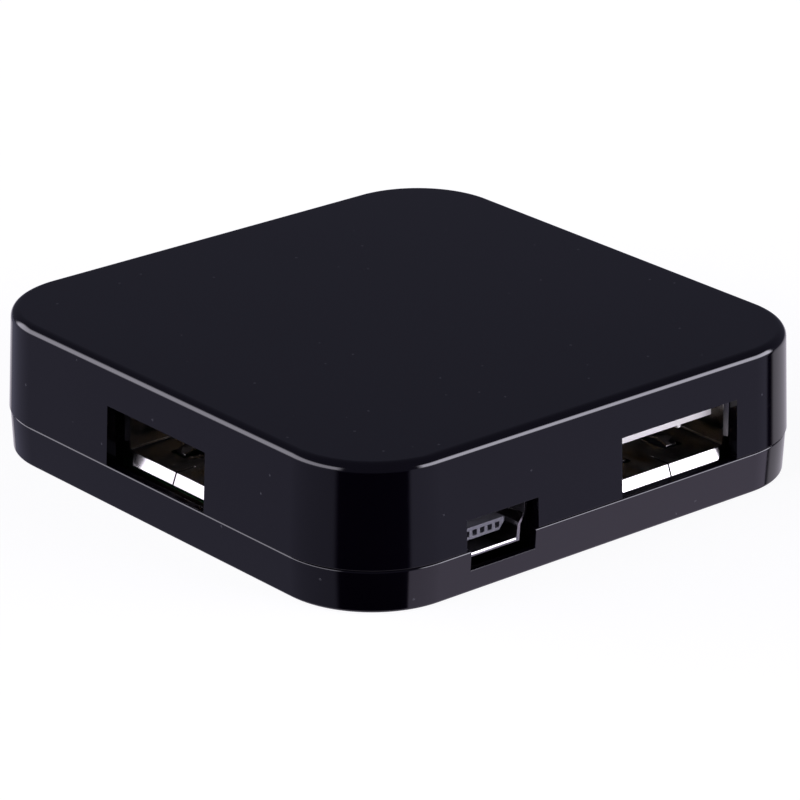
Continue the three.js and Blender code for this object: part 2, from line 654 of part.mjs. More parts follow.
const hub = new THREE.Group();
hub.add(topShell(), bottomShell(), board(), ...boardParts(), miniReceptacle());
for (const port of PORTS) hub.add(usbAReceptacle(port));

export default hub;
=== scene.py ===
"""Looks of the USB hub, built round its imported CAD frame. The hub stands on z = 0, +Z up.

Sizes in this script are millimetres, and MM turns them into Blender's metres. Every socket is built
in a frame of its own: x across, y outward with 0 at the front edge of its metal shell, z as the hub.
"""

import json
import math

import bmesh
import bpy
from mathutils import Matrix, Vector


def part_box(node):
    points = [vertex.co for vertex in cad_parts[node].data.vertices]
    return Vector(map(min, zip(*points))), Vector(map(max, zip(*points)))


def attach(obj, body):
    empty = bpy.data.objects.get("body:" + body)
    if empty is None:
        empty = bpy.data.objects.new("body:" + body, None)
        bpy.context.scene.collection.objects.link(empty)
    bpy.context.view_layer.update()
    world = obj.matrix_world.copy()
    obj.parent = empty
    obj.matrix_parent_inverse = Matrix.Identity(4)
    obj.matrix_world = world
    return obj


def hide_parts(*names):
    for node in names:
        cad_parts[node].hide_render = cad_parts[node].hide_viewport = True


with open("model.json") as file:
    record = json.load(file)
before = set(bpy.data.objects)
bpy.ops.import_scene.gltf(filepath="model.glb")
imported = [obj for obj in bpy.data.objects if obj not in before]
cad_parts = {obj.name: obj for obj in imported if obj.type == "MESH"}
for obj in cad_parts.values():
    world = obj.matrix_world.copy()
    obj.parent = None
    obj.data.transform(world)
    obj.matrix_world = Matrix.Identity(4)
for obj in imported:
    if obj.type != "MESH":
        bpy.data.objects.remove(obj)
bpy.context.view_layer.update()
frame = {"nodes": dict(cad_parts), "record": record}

MM = 0.001
BODY = "root"


def span(node):
    """Lowest and highest corner of a CAD node, in millimetres."""
    low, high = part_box(node)
    return low / MM, high / MM


# ---------------------------------------------------------------- measures

TOP_HIGH = span("top_shell")[1]
BASE_HIGH = span("bottom_shell")[1]
BOARD_LOW, BOARD_HIGH = span("circuit_board")

HALF = TOP_HIGH.x                  # half the width at the seam
HEIGHT = TOP_HIGH.z
FOOT = 3.74                        # lower edge of the upper shell's outer wall
SEAM_GAP = 0.07
RIM = FOOT - SEAM_GAP              # upper edge of the lower shell
CORNER_RADIUS = 8.6
CORNER_STEPS = 32
DRAFT = 0.04                       # inward lean of the upper wall
TOP_RADIUS = 0.8
TOP_STEPS = 10
FOOT_RADIUS = 0.05                 # moulded edges at the seam
RIM_RADIUS = 0.2
EDGE_STEPS = 3
WALL = 1.4
PORT_WALL = 0.85
ROOF = 1.5
FLOOR = 0.9
CLEARANCE = 0.3
BASE_HALF = BASE_HIGH.x            # half width of the lower shell at its rim
BASE_LEAN = 0.15
BASE_EDGE = 0.25
EDGE_BREAK = 0.11                  # rounding of the cut edges
SHEET_EDGE = 0.04
PLASTIC_EDGE = 0.08
CAD_EDGE = 0.03                    # rounding of the pieces kept from the CAD model
OVERLAP = 0.2                      # how far solids reach into each other before they are joined

POST_OFFSET = 18.4
POST_RADIUS = 0.95
POST_TOP = BASE_HIGH.z
SOCKET_RADIUS = 2.1
SOCKET_BORE = 1.25
RIB_THICK = 0.8
RIB_HEIGHT = 1.6
POCKET_LEVEL = 7.7                 # height at which the wall in front of a socket is PORT_WALL thick
POCKET_MARGIN = 1.0                # of the pocket behind the wall, beside an opening
RIB_CUT = 3.5                      # depth to which the rib opens behind a socket
RIB_CUT_TOP = 7.0

# USB-A socket
OPENING_HALF = 6.25
OPENING_FLOOR = 4.6
OPENING_TOP = OPENING_FLOOR + 5.12
SHEET = 0.3
BEND = 0.55
SHELL_DEPTH = 13.4
LIP_DEPTH = 0.45
LIP_FLARE = 1.0
SIDE_FLARE = 0.2
LIP_HALF = 5.75
SIDE_LIP_HALF = 1.7
TONGUE_HALF = 5.57
TONGUE_LOW = 7.3
TONGUE_HIGH = 9.04
TONGUE_FRONT = -1.15
REAR_BLOCK = -10.2
TONGUE_CHAMFER = 0.3
KEY_X = 1.87                       # small key under the tongue's front edge
KEY_HALF = 0.2
KEY_DEPTH = 0.4
KEY_DROP = 0.24
GROOVE_GAP = 0.2                   # round a contact, in the tongue
REAR_INSET = 0.1                   # of the plastic behind a socket's shell
JOINT_HALF = 0.09                  # seam of the bent sheet, along the middle of the floor
JOINT_LENGTH = 2.4
# side view of a leg that the socket stands on the board with, as (y, z)
LEG = ((-11.6, 6), (-11.6, 2), (-11.1, 1.35), (-10.1, 1.35), (-9.6, 2), (-9.6, 6))
SPRING_X = 2.9
SPRING_HALF = 0.6
SPRING_THICK = 0.22
# side view of a grip spring, as (y, rise into the opening)
SPRING_BOW = ((-8.3, 0), (-7.8, 0), (-7.0, 0.13), (-6.1, 0.33), (-5.2, 0.5), (-4.7, 0.55), (-4.2, 0.53),
              (-3.7, 0.42), (-3.1, 0.1))
WINDOW_HALF = 0.95                 # window that a spring is cut free in
WINDOW_DEPTHS = (-7.8, -2.75)
CONTACT_X = (-3.5, -1.0, 1.0, 3.5)
CONTACT_HALF = 0.5
CONTACT_LOW = 7.07
CONTACT_THICK = 0.25
TAIL_Y = -12.7

CUT_HALF = 6.5                     # opening of the casing in front of a USB-A socket
CUT_TOP = 9.0

# Mini-B socket
MINI_FLOOR = 2.9
MINI_ROOF = 5.9
MINI_HALF_TOP = 3.6
MINI_HALF_FLOOR = 2.8
MINI_STEP = (3.9, 5.0)             # where its sides step out
MINI_DEPTH = 8.6
MINI_CUT_HALF = 3.81
MINI_CUT_TOP = 6.36
MINI_SILL_HALF = 3.43
MINI_SILL = 1.9
MINI_CUT_SHIFT = -0.45             # the inlet sits a little off the middle of its opening
MINI_SILL_SHIFT = -0.61
MINI_POCKET_HALF = MINI_HALF_TOP + SHEET + 0.4
MINI_PITCH = 0.8
MINI_PINS = range(-2, 3)
MINI_TONGUE = (3.55, 4.6)
MINI_TONGUE_HALF = 2.35
MINI_SLOT = (3.8, 4.3)
MINI_SLOT_HALF = 0.23
MINI_LEGS = (-2.2, -7.4)
MINI_REAR = -6.2                   # where the plastic behind the opening starts
MINI_RIM = 0.24                    # height of the chamfer on the floor's front edge
MINI_RIM_DEPTH = 0.075

# name: heading of the opening in degrees, place along the wall, depth behind the wall
SOCKETS = {
    "front": (180, 0.0, 1.92),
    "right": (-90, -8.63, 1.1),
    "back": (0, 0.0, 1.92),
    "left": (90, 0.0, 1.92),
}
MINI = (-90, 11.32, 1.05)


# ---------------------------------------------------------------- mesh helpers

def to_object(name, vertices, faces):
    """A mesh object from points in millimetres."""
    mesh = bpy.data.meshes.new(name)
    mesh.from_pydata([Vector(v) * MM for v in vertices], [], faces)
    obj = bpy.data.objects.new(name, mesh)
    bpy.context.scene.collection.objects.link(obj)
    return obj


def skin(rings, name="skin"):
    """Closed skin over rings of equal length that run anticlockwise, lowest first."""
    count = len(rings[0])
    vertices = [point for ring in rings for point in ring]
    faces = []
    for level in range(len(rings) - 1):
        for i in range(count):
            a = level * count + i
            b = level * count + (i + 1) % count
            faces.append((a, b, b + count, a + count))
    faces.append(tuple(reversed(range(count))))
    faces.append(tuple(range((len(rings) - 1) * count, len(rings) * count)))
    return to_object(name, vertices, faces)


def rounded(a0, a1, b0, b1, radius, steps=6):
    """Outline of a rounded rectangle, anticlockwise, as pairs."""
    points = []
    centres = ((a1 - radius, b0 + radius), (a1 - radius, b1 - radius),
               (a0 + radius, b1 - radius), (a0 + radius, b0 + radius))
    for corner, (a, b) in enumerate(centres):
        for i in range(steps + 1):
            angle = math.radians(90 * (corner - 1 + i / steps))
            points.append((a + radius * math.cos(angle), b + radius * math.sin(angle)))
    return points


def prism(outline, axis, low, high):
    """Pushes an outline along an axis. It holds (y, z), (z, x) or (x, y) pairs for x, y and z."""
    place = {
        "x": lambda a, b, c: (c, a, b),
        "y": lambda a, b, c: (b, c, a),
        "z": lambda a, b, c: (a, b, c),
    }[axis]
    area = sum(p[0] * q[1] - q[0] * p[1] for p, q in zip(outline, outline[1:] + outline[:1]))
    if area < 0:
        outline = outline[::-1]
    return skin([[place(a, b, c) for a, b in outline] for c in (low, high)])


def block(x, y, z):
    return prism([(x[0], y[0]), (x[1], y[0]), (x[1], y[1]), (x[0], y[1])], "z", *z)


def peg(x, y, radius, low, high, steps=32):
    turns = [2 * math.pi * i / steps for i in range(steps)]
    return prism([(x + radius * math.cos(t), y + radius * math.sin(t)) for t in turns], "z", low, high)


def settle(obj):
    """Applies the object's modifiers to its mesh."""
    evaluated = obj.evaluated_get(bpy.context.evaluated_depsgraph_get())
    mesh = bpy.data.meshes.new_from_object(evaluated)
    obj.modifiers.clear()
    obj.data = mesh
    return obj


def combine(target, others, operation):
    for other in others:
        step = target.modifiers.new("combine", "BOOLEAN")
        step.operation = operation
        step.solver = "EXACT"
        step.object = other
        settle(target)
        bpy.data.objects.remove(other)
    return target


def join(target, *others):
    return combine(target, others, "UNION")


def cut(target, *others):
    return combine(target, others, "DIFFERENCE")


def common(target, *others):
    return combine(target, others, "INTERSECT")


def turned(obj, socket):
    """Moves an object from a socket's own frame to the hub's."""
    heading, along, recess = socket
    offset = Matrix.Translation(Vector((along, HALF - recess, 0)) * MM)
    obj.data.transform(Matrix.Rotation(math.radians(heading), 4, "Z") @ offset)
    return obj


def soften(obj, width, angle=30, segments=3):
    """Rounds the sharp edges and lets broad faces set the shading."""
    tidy = bmesh.new()
    tidy.from_mesh(obj.data)
    bmesh.ops.remove_doubles(tidy, verts=tidy.verts, dist=0.002 * MM)
    bmesh.ops.dissolve_limit(tidy, angle_limit=math.radians(0.5), verts=tidy.verts, edges=tidy.edges)
    tidy.to_mesh(obj.data)
    tidy.free()
    bevel = obj.modifiers.new("edges", "BEVEL")
    bevel.width = width * MM
    bevel.segments = segments
    bevel.limit_method = "ANGLE"
    bevel.angle_limit = math.radians(angle)
    settle(obj)
    for polygon in obj.data.polygons:
        polygon.use_smooth = True
    shading = obj.modifiers.new("shading", "WEIGHTED_NORMAL")
    shading.weight = 80
    shading.keep_sharp = True
    return obj


def piece(obj, name, node, material):
    """Makes a finished mesh the stand-in for a CAD node."""
    obj.name = name
    obj.data.name = name
    obj.data.materials.clear()
    obj.data.materials.append(material)
    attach(obj, BODY)
    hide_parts(node)
    return obj


# ---------------------------------------------------------------- casing

def square(z, half):
    """Ring of the casing at a height. The corner centres stay where they are."""
    radius = CORNER_RADIUS - (HALF - half)
    return [(x, y, z) for x, y in rounded(-half, half, -half, half, radius, CORNER_STEPS)]


def corner_pegs(radius, low, high):
    return [peg(sx * POST_OFFSET, sy * POST_OFFSET, radius, low, high)
            for sx in (1, -1) for sy in (1, -1)]


def at_socket(socket, half, near, far, low, high, shift=0.0):
    """A block in front of a socket, from near to far behind the seam line of the wall."""
    heading, along, recess = socket
    middle = along + shift
    obj = block((middle - half, middle + half), (HALF - far, HALF - near), (low, high))
    obj.data.transform(Matrix.Rotation(math.radians(heading), 4, "Z"))
    return obj


def lean(z):
    return DRAFT * (z - FOOT)


def casing_top():
    wall_top = HEIGHT - TOP_RADIUS
    rings = []
    for i in range(EDGE_STEPS + 1):
        angle = math.radians(90 * i / EDGE_STEPS)
        rings.append(square(FOOT + FOOT_RADIUS * (1 - math.cos(angle)),
                            HALF - FOOT_RADIUS * (1 - math.sin(angle))))
    for i in range(TOP_STEPS + 1):
        angle = math.radians(90 * i / TOP_STEPS)
        inset = TOP_RADIUS * (1 - math.cos(angle))
        rings.append(square(wall_top + TOP_RADIUS * math.sin(angle), HALF - lean(wall_top) - inset))
    ceiling = HEIGHT - ROOF
    shell = cut(skin(rings), skin([square(FOOT - 1, HALF - WALL),
                                   square(ceiling, HALF - WALL - lean(ceiling))]))
    join(shell, *corner_pegs(SOCKET_RADIUS, BOARD_HIGH.z + CLEARANCE, ceiling + 0.5))
    cut(shell, *corner_pegs(SOCKET_BORE, 0, POST_TOP + CLEARANCE))
    for socket in SOCKETS.values():
        cut(shell,
            at_socket(socket, CUT_HALF + POCKET_MARGIN, PORT_WALL + lean(POCKET_LEVEL), WALL + 1,
                      0, ceiling - 0.3),
            at_socket(socket, CUT_HALF, -1, WALL + 0.5, 0, CUT_TOP))
    cut(shell,
        at_socket(MINI, MINI_POCKET_HALF, PORT_WALL, WALL + 1, 0, MINI_CUT_TOP + 0.7),
        at_socket(MINI, MINI_CUT_HALF, -1, WALL + 0.5, 0, MINI_CUT_TOP, MINI_CUT_SHIFT))
    return piece(soften(shell, EDGE_BREAK), "casing_top", "top_shell", MATERIALS["casing"])


def casing_bottom():
    rings = []
    for i in range(EDGE_STEPS + 2):
        angle = math.radians(90 * i / (EDGE_STEPS + 1))
        rings.append(square(BASE_EDGE * (1 - math.cos(angle)),
                            BASE_HALF - BASE_LEAN - BASE_EDGE * (1 - math.sin(angle))))
    for i in range(EDGE_STEPS + 1):
        angle = math.radians(90 * i / EDGE_STEPS)
        rings.append(square(RIM - RIM_RADIUS * (1 - math.sin(angle)),
                            BASE_HALF - RIM_RADIUS * (1 - math.cos(angle))))
    shell = cut(skin(rings), skin([square(FLOOR, HALF - WALL), square(RIM + 1, HALF - WALL)]))
    rib = HALF - WALL - CLEARANCE
    ribs = cut(skin([square(FLOOR - OVERLAP, rib), square(RIM + RIB_HEIGHT, rib)]),
               skin([square(0, rib - RIB_THICK), square(RIM + RIB_HEIGHT + 1, rib - RIB_THICK)]))
    web = cut(skin([square(FLOOR - OVERLAP, HALF - WALL + OVERLAP),
                    square(RIM - 0.4, HALF - WALL + OVERLAP)]),
              skin([square(0, rib - OVERLAP), square(RIM + 1, rib - OVERLAP)]))
    join(shell, ribs, web)
    for socket in SOCKETS.values():
        cut(shell, at_socket(socket, CUT_HALF + POCKET_MARGIN, PORT_WALL, RIB_CUT, BOARD_HIGH.z, RIB_CUT_TOP))
    cut(shell,
        at_socket(MINI, MINI_POCKET_HALF, PORT_WALL, RIB_CUT, FLOOR, RIB_CUT_TOP),
        at_socket(MINI, MINI_SILL_HALF, -1, RIB_CUT, MINI_SILL, RIB_CUT_TOP, MINI_SILL_SHIFT))
    seat_top = BOARD_LOW.z - CLEARANCE / 2
    join(shell, *corner_pegs(SOCKET_RADIUS, FLOOR - OVERLAP, seat_top))
    join(shell, *corner_pegs(POST_RADIUS, FLOOR - OVERLAP, POST_TOP))
    return piece(soften(shell, EDGE_BREAK), "casing_bottom", "bottom_shell", MATERIALS["casing"])


# ---------------------------------------------------------------- USB-A sockets

def lip_profile(flare, steps=5):
    """Section of a flared lip, along the sheet from its root, as (outward, away from the opening)."""
    tilt = math.atan2(flare, LIP_DEPTH)
    bend = 0.1
    inner = [(-LIP_DEPTH - 0.2, 0.0)]
    for i in range(steps + 1):
        angle = tilt * i / steps
        inner.append((-LIP_DEPTH + bend * math.sin(angle), bend * (1 - math.cos(angle))))
    inner.append((0.0, flare))
    edge = math.atan2(flare - inner[-2][1], -inner[-2][0])
    outer = [(-LIP_DEPTH - 0.2, SHEET), (-LIP_DEPTH, SHEET)]
    outer.append((-SHEET * math.sin(edge), flare + SHEET * math.cos(edge)))
    return inner + outer[::-1]


def socket_lips():
    plan = rounded(-LIP_HALF, LIP_HALF, -LIP_DEPTH - 1.2, 0, LIP_DEPTH, 8)
    lips = []
    for level, sign in ((OPENING_TOP, 1), (OPENING_FLOOR, -1)):
        outline = [(y, level + sign * away) for y, away in lip_profile(LIP_FLARE)]
        lips.append(common(prism(outline, "x", -LIP_HALF, LIP_HALF), prism(plan, "z", 0, HEIGHT)))
    middle = (OPENING_FLOOR + OPENING_TOP) / 2
    for sign in (1, -1):
        outline = [(sign * (OPENING_HALF + away), y) for y, away in lip_profile(SIDE_FLARE)]
        lips.append(prism(outline, "z", middle - SIDE_LIP_HALF, middle + SIDE_LIP_HALF))
    return lips


def grip_spring(x, level, sign):
    """Leaf that grips the plug: fixed at the back, bowed into the opening."""
    inner = [(y, level + sign * rise) for y, rise in SPRING_BOW]
    outer = [(y, level + sign * (rise - SPRING_THICK)) for y, rise in reversed(SPRING_BOW)]
    return prism(inner + outer, "x", x - SPRING_HALF, x + SPRING_HALF)


def socket_shell(name, socket):
    outer_half = OPENING_HALF + SHEET
    outer = rounded(OPENING_FLOOR - SHEET, OPENING_TOP + SHEET, -outer_half, outer_half, BEND, 6)
    inner = rounded(OPENING_FLOOR, OPENING_TOP, -OPENING_HALF, OPENING_HALF, BEND - SHEET, 6)
    shell = prism(outer, "y", -SHELL_DEPTH, -LIP_DEPTH)
    legs = [prism(LEG, "x", OPENING_HALF, outer_half), prism(LEG, "x", -outer_half, -OPENING_HALF)]
    join(shell, *legs)
    cut(shell, prism(inner, "y", -SHELL_DEPTH - 1, 1))
    join(shell, *socket_lips())
    cut(shell, block((-JOINT_HALF, JOINT_HALF), (-JOINT_LENGTH, 1), (OPENING_FLOOR - 2, OPENING_FLOOR + 0.2)))
    cut(shell, block((0.4 - OPENING_HALF, OPENING_HALF - 0.4), (-SHELL_DEPTH - 1, REAR_BLOCK),
                     (OPENING_FLOOR - 1, OPENING_FLOOR + 0.1)))
    for x in (-SPRING_X, SPRING_X):
        for level, sign in ((OPENING_FLOOR, 1), (OPENING_TOP, -1)):
            middle = level - sign * SHEET / 2
            cut(shell, block((x - WINDOW_HALF, x + WINDOW_HALF), WINDOW_DEPTHS, (middle - 0.5, middle + 0.5)))
            join(shell, grip_spring(x, level, sign))
    soften(shell, SHEET_EDGE, segments=2)
    turned(shell, socket)
    return piece(shell, f"socket_{name}_shell", f"usb_a_{name}_shell", MATERIALS["tin"])


def socket_insulator(name, socket):
    rear = -SHELL_DEPTH + REAR_INSET
    tongue = prism([(rear + 1, TONGUE_LOW), (TONGUE_FRONT, TONGUE_LOW),
                    (TONGUE_FRONT, TONGUE_HIGH - TONGUE_CHAMFER),
                    (TONGUE_FRONT - TONGUE_CHAMFER, TONGUE_HIGH), (rear + 1, TONGUE_HIGH)],
                   "x", -TONGUE_HALF, TONGUE_HALF)
    key_x = -KEY_X if name == "right" else KEY_X
    block_half = OPENING_HALF - CLEARANCE
    front = REAR_BLOCK - CLEARANCE
    join(tongue,
         block((key_x - KEY_HALF, key_x + KEY_HALF), (TONGUE_FRONT - KEY_DEPTH, TONGUE_FRONT),
               (TONGUE_LOW - KEY_DROP, TONGUE_LOW + 0.1)),
         block((-block_half, block_half), (rear, front),
               (OPENING_FLOOR + CLEARANCE, OPENING_TOP - CLEARANCE)),
         block((0.4 - block_half, block_half - 0.4), (rear, front),
               (BOARD_HIGH.z + CLEARANCE, OPENING_FLOOR + 1)))
    groove_half = CONTACT_HALF + GROOVE_GAP
    groove_top = CONTACT_LOW + CONTACT_THICK + GROOVE_GAP
    for x in CONTACT_X:
        across = (x - groove_half, x + groove_half)
        cut(tongue,
            block(across, (rear - 1, TONGUE_FRONT - 0.55), (TONGUE_LOW - 0.5, groove_top)),
            block(across, (rear - 1, TAIL_Y + CONTACT_THICK / 2 + GROOVE_GAP), (0, groove_top)))
    soften(tongue, PLASTIC_EDGE)
    turned(tongue, socket)
    return piece(tongue, f"socket_{name}_insulator", f"usb_a_{name}_insulator",
                 MATERIALS["white_plastic"])


# ---------------------------------------------------------------- mini-B socket

def mini_outline(grow, steps=6):
    """The keyed opening, as (z, x) pairs: wide above, narrow below, with an S-shaped step."""
    right = [(MINI_FLOOR - grow, MINI_HALF_FLOOR + grow)]
    low, high = MINI_STEP
    for i in range(steps + 1):
        t = i / steps
        ease = t * t * (3 - 2 * t)
        x = MINI_HALF_FLOOR + 0.1 + (MINI_HALF_TOP - 0.05 - MINI_HALF_FLOOR - 0.1) * ease
        right.append((low + (high - low) * t, x + grow))
    right.append((MINI_ROOF + grow, MINI_HALF_TOP + grow))
    return right + [(z, -x) for z, x in reversed(right)]


def mini_shell():
    shell = prism(mini_outline(SHEET), "y", -MINI_DEPTH, 0)
    outer_half = MINI_HALF_TOP + SHEET
    for sign in (1, -1):
        sides = sorted((sign * (outer_half - SHEET), sign * outer_half))
        for y in MINI_LEGS:
            join(shell, block(sides, (y - 0.5, y + 0.5), (BOARD_LOW.z - 0.3, MINI_ROOF - 0.4)))
    cut(shell,
        prism(mini_outline(0), "y", -MINI_DEPTH - 1, 1),
        block((0.2 - MINI_HALF_FLOOR, MINI_HALF_FLOOR - 0.2), (-MINI_DEPTH - 1, MINI_REAR),
              (0, MINI_FLOOR + 0.1)),
        prism([(0.02, MINI_FLOOR - MINI_RIM), (0.02, MINI_FLOOR + 0.02),
               (-MINI_RIM_DEPTH, MINI_FLOOR + 0.02)],
              "x", -MINI_HALF_FLOOR, MINI_HALF_FLOOR))
    soften(shell, SHEET_EDGE, segments=2)
    turned(shell, MINI)
    return piece(shell, "inlet_shell", "mini_b_shell", MATERIALS["tin"])


def mini_insulator():
    low, high = MINI_TONGUE
    half = MINI_TONGUE_HALF
    rear = -MINI_DEPTH + REAR_INSET
    tongue = prism([(low, 0.55 - half), (low, half - 0.55), (high - 0.4, half), (high, half), (high, -half),
                    (high - 0.4, -half)], "y", rear + 1, -1)
    block_half = MINI_HALF_FLOOR - CLEARANCE
    join(tongue, block((-block_half, block_half), (rear, MINI_REAR - CLEARANCE),
                       (BOARD_HIGH.z + 0.2, MINI_ROOF - CLEARANCE)))
    for step in MINI_PINS:
        across = (step * MINI_PITCH - MINI_SLOT_HALF, step * MINI_PITCH + MINI_SLOT_HALF)
        cut(tongue, block(across, (rear - 1, 0), MINI_SLOT),
            block(across, (rear - 1, rear + 0.75), (0, MINI_SLOT[1])))
    soften(tongue, SHEET_EDGE, segments=2)
    turned(tongue, MINI)
    return piece(tongue, "inlet_insulator", "mini_b_insulator", MATERIALS["grey_plastic"])


# ---------------------------------------------------------------- materials

class Recipe:
    """A material's node tree, with short calls for the nodes that the finishes share."""

    def __init__(self, name, **shader):
        self.material = bpy.data.materials.new(name)
        self.material.use_nodes = True
        self.nodes = self.material.node_tree.nodes
        self.links = self.material.node_tree.links
        self.shader = self.nodes["Principled BSDF"]
        for socket, value in shader.items():
            self.shader.inputs[socket.replace("_", " ")].default_value = value
        self.where = self.nodes.new("ShaderNodeTexCoord")

    def link(self, source, node, socket):
        self.links.new(source, node.inputs[socket])

    def points(self, stretch=(1, 1, 1), space="Object"):
        mapping = self.nodes.new("ShaderNodeMapping")
        mapping.inputs["Scale"].default_value = stretch
        self.link(self.where.outputs[space], mapping, "Vector")
        return mapping.outputs["Vector"]

    def noise(self, scale, detail=3.0, roughness=0.5, stretch=(1, 1, 1)):
        node = self.nodes.new("ShaderNodeTexNoise")
        node.inputs["Scale"].default_value = scale
        node.inputs["Detail"].default_value = detail
        node.inputs["Roughness"].default_value = roughness
        self.link(self.points(stretch), node, "Vector")
        return node.outputs["Fac"]

    def specks(self, scale, size, stretch=(1, 1, 1)):
        """1 inside scattered dots of that size, 0 between them."""
        node = self.nodes.new("ShaderNodeTexVoronoi")
        node.inputs["Scale"].default_value = scale
        self.link(self.points(stretch), node, "Vector")
        return self.ramp(node.outputs["Distance"], (size * 0.6, 1), (size, 0))

    def ramp(self, source, *stops):
        """Maps a value along (position, value or colour) stops."""
        node = self.nodes.new("ShaderNodeValToRGB")
        elements = node.color_ramp.elements
        while len(elements) < len(stops):
            elements.new(0.5)
        for element, (position, value) in zip(elements, stops):
            element.position = position
            element.color = (*value, 1) if isinstance(value, tuple) else (value, value, value, 1)
        self.link(source, node, "Fac")
        return node.outputs["Color"]

    def math(self, operation, a, b):
        node = self.nodes.new("ShaderNodeMath")
        node.operation = operation
        for index, value in enumerate((a, b)):
            if isinstance(value, (int, float)):
                node.inputs[index].default_value = value
            else:
                self.link(value, node, index)
        return node.outputs["Value"]

    def mix(self, factor, a, b):
        node = self.nodes.new("ShaderNodeMix")
        node.data_type = "RGBA"
        self.link(factor, node, "Factor")
        for name, value in (("A", a), ("B", b)):
            socket = next(s for s in node.inputs if s.name == name and s.type == "RGBA")
            if isinstance(value, tuple):
                socket.default_value = (*value, 1)
            else:
                self.links.new(value, socket)
        return next(s for s in node.outputs if s.type == "RGBA")

    def bump(self, height, strength, distance, normal=None):
        node = self.nodes.new("ShaderNodeBump")
        node.inputs["Strength"].default_value = strength
        node.inputs["Distance"].default_value = distance
        self.link(height, node, "Height")
        if normal is not None:
            self.link(normal, node, "Normal")
        return node.outputs["Normal"]

    def done(self, colour=None, roughness=None, normal=None, metallic=None):
        for name, source in (("Base Color", colour), ("Roughness", roughness), ("Normal", normal),
                             ("Metallic", metallic)):
            if source is not None:
                self.link(source, self.shader, name)
        return self.material


def casing_material():
    """Polished black moulding with faint flow marks, hairline scratches and a little dust."""
    r = Recipe("casing_black", IOR=1.5)
    flow = r.noise(45, 4)
    dust = r.specks(420, 0.055)
    base = r.ramp(flow, (0.3, (0.0014, 0.0008, 0.0028)), (0.7, (0.0022, 0.0014, 0.0040)))
    colour = r.mix(dust, base, (0.05, 0.05, 0.055))
    hairs = r.ramp(r.noise(260, 2, 0.4, (1, 14, 9)), (0.70, 0), (0.74, 1))
    hairs_across = r.ramp(r.noise(230, 2, 0.4, (13, 1, 8)), (0.71, 0), (0.75, 1))
    marks = r.math("MAXIMUM", hairs, hairs_across)
    smooth = r.ramp(r.noise(90, 3), (0.3, 0.07), (0.75, 0.10))
    roughness = r.mix(marks, smooth, (0.13, 0.13, 0.13))
    orange_peel = r.noise(900, 2)
    normal = r.bump(orange_peel, 0.02, 0.02 * MM)
    normal = r.bump(marks, 0.05, 0.01 * MM, normal)
    return r.done(colour, roughness, normal)


def tin_material():
    """Tin-plated sheet steel: rolled grain, a warm haze and small smears."""
    r = Recipe("tin_plate", Metallic=1.0)
    haze = r.noise(350, 4)
    colour = r.ramp(haze, (0.3, (0.33, 0.315, 0.31)), (0.7, (0.42, 0.405, 0.40)))
    grain = r.noise(2500, 2, 0.6, (1, 1, 0.08))
    roughness = r.ramp(r.noise(700, 3), (0.3, 0.13), (0.7, 0.22))
    return r.done(colour, roughness, r.bump(grain, 0.12, 0.01 * MM))


def plastic_material(name, dark, light, roughness, grain=1800):
    r = Recipe(name, IOR=1.5)
    cloud = r.noise(500, 4)
    colour = r.ramp(cloud, (0.3, dark), (0.7, light))
    rough = r.ramp(r.noise(900, 3), (0.3, roughness - 0.07), (0.7, roughness + 0.07))
    return r.done(colour, rough, r.bump(r.noise(grain, 2), 0.1, 0.01 * MM))


def gold_material():
    r = Recipe("gold_flash", Metallic=1.0)
    wear = r.noise(900, 3, 0.6)
    colour = r.ramp(wear, (0.35, (0.62, 0.44, 0.20)), (0.65, (0.83, 0.62, 0.28)))
    rough = r.ramp(r.noise(1500, 2), (0.3, 0.18), (0.7, 0.34))
    return r.done(colour, rough, r.bump(r.noise(3000, 2, 0.5, (1, 1, 0.1)), 0.1, 0.005 * MM))


def board_material():
    """Solder mask over copper: paler tracks show through the green. The cut edge is bare laminate."""
    r = Recipe("solder_mask", IOR=1.5)
    tracks = r.nodes.new("ShaderNodeTexBrick")
    tracks.inputs["Scale"].default_value = 260
    tracks.inputs["Mortar Size"].default_value = 0.06
    r.link(r.points(), tracks, "Vector")
    copper = r.ramp(tracks.outputs["Fac"], (0.4, 0), (0.6, 1))
    mottle = r.ramp(r.noise(300, 3), (0.3, (0.006, 0.040, 0.014)), (0.7, (0.010, 0.060, 0.022)))
    mask = r.mix(copper, mottle, (0.025, 0.11, 0.035))
    facing = r.nodes.new("ShaderNodeSeparateXYZ")
    r.link(r.where.outputs["Normal"], facing, "Vector")
    flat = r.ramp(r.math("ABSOLUTE", facing.outputs["Z"], 0), (0.6, 0), (0.8, 1))
    colour = r.mix(flat, (0.030, 0.022, 0.012), mask)
    rough = r.ramp(r.noise(800, 3), (0.3, 0.28), (0.7, 0.42))
    return r.done(colour, rough, r.bump(copper, 0.2, 0.03 * MM))


def ended_material(name, body, axis, share):
    """A chip part with tinned ends, which take that share of its length at each side."""
    r = Recipe(name, IOR=1.5)
    split = r.nodes.new("ShaderNodeSeparateXYZ")
    r.link(r.where.outputs["Generated"], split, "Vector")
    along = r.math("ABSOLUTE", r.math("SUBTRACT", split.outputs[axis], 0.5), 0)
    end = r.ramp(along, (0.5 - share - 0.005, 0), (0.5 - share + 0.005, 1))
    mottle = r.ramp(r.noise(2500, 3), (0.3, tuple(c * 0.85 for c in body)), (0.7, body))
    colour = r.mix(end, mottle, (0.78, 0.77, 0.74))
    rough = r.ramp(r.noise(2000, 2), (0.3, 0.3), (0.7, 0.5))
    return r.done(colour, rough, r.bump(r.noise(5000, 2), 0.1, 0.01 * MM), metallic=end)


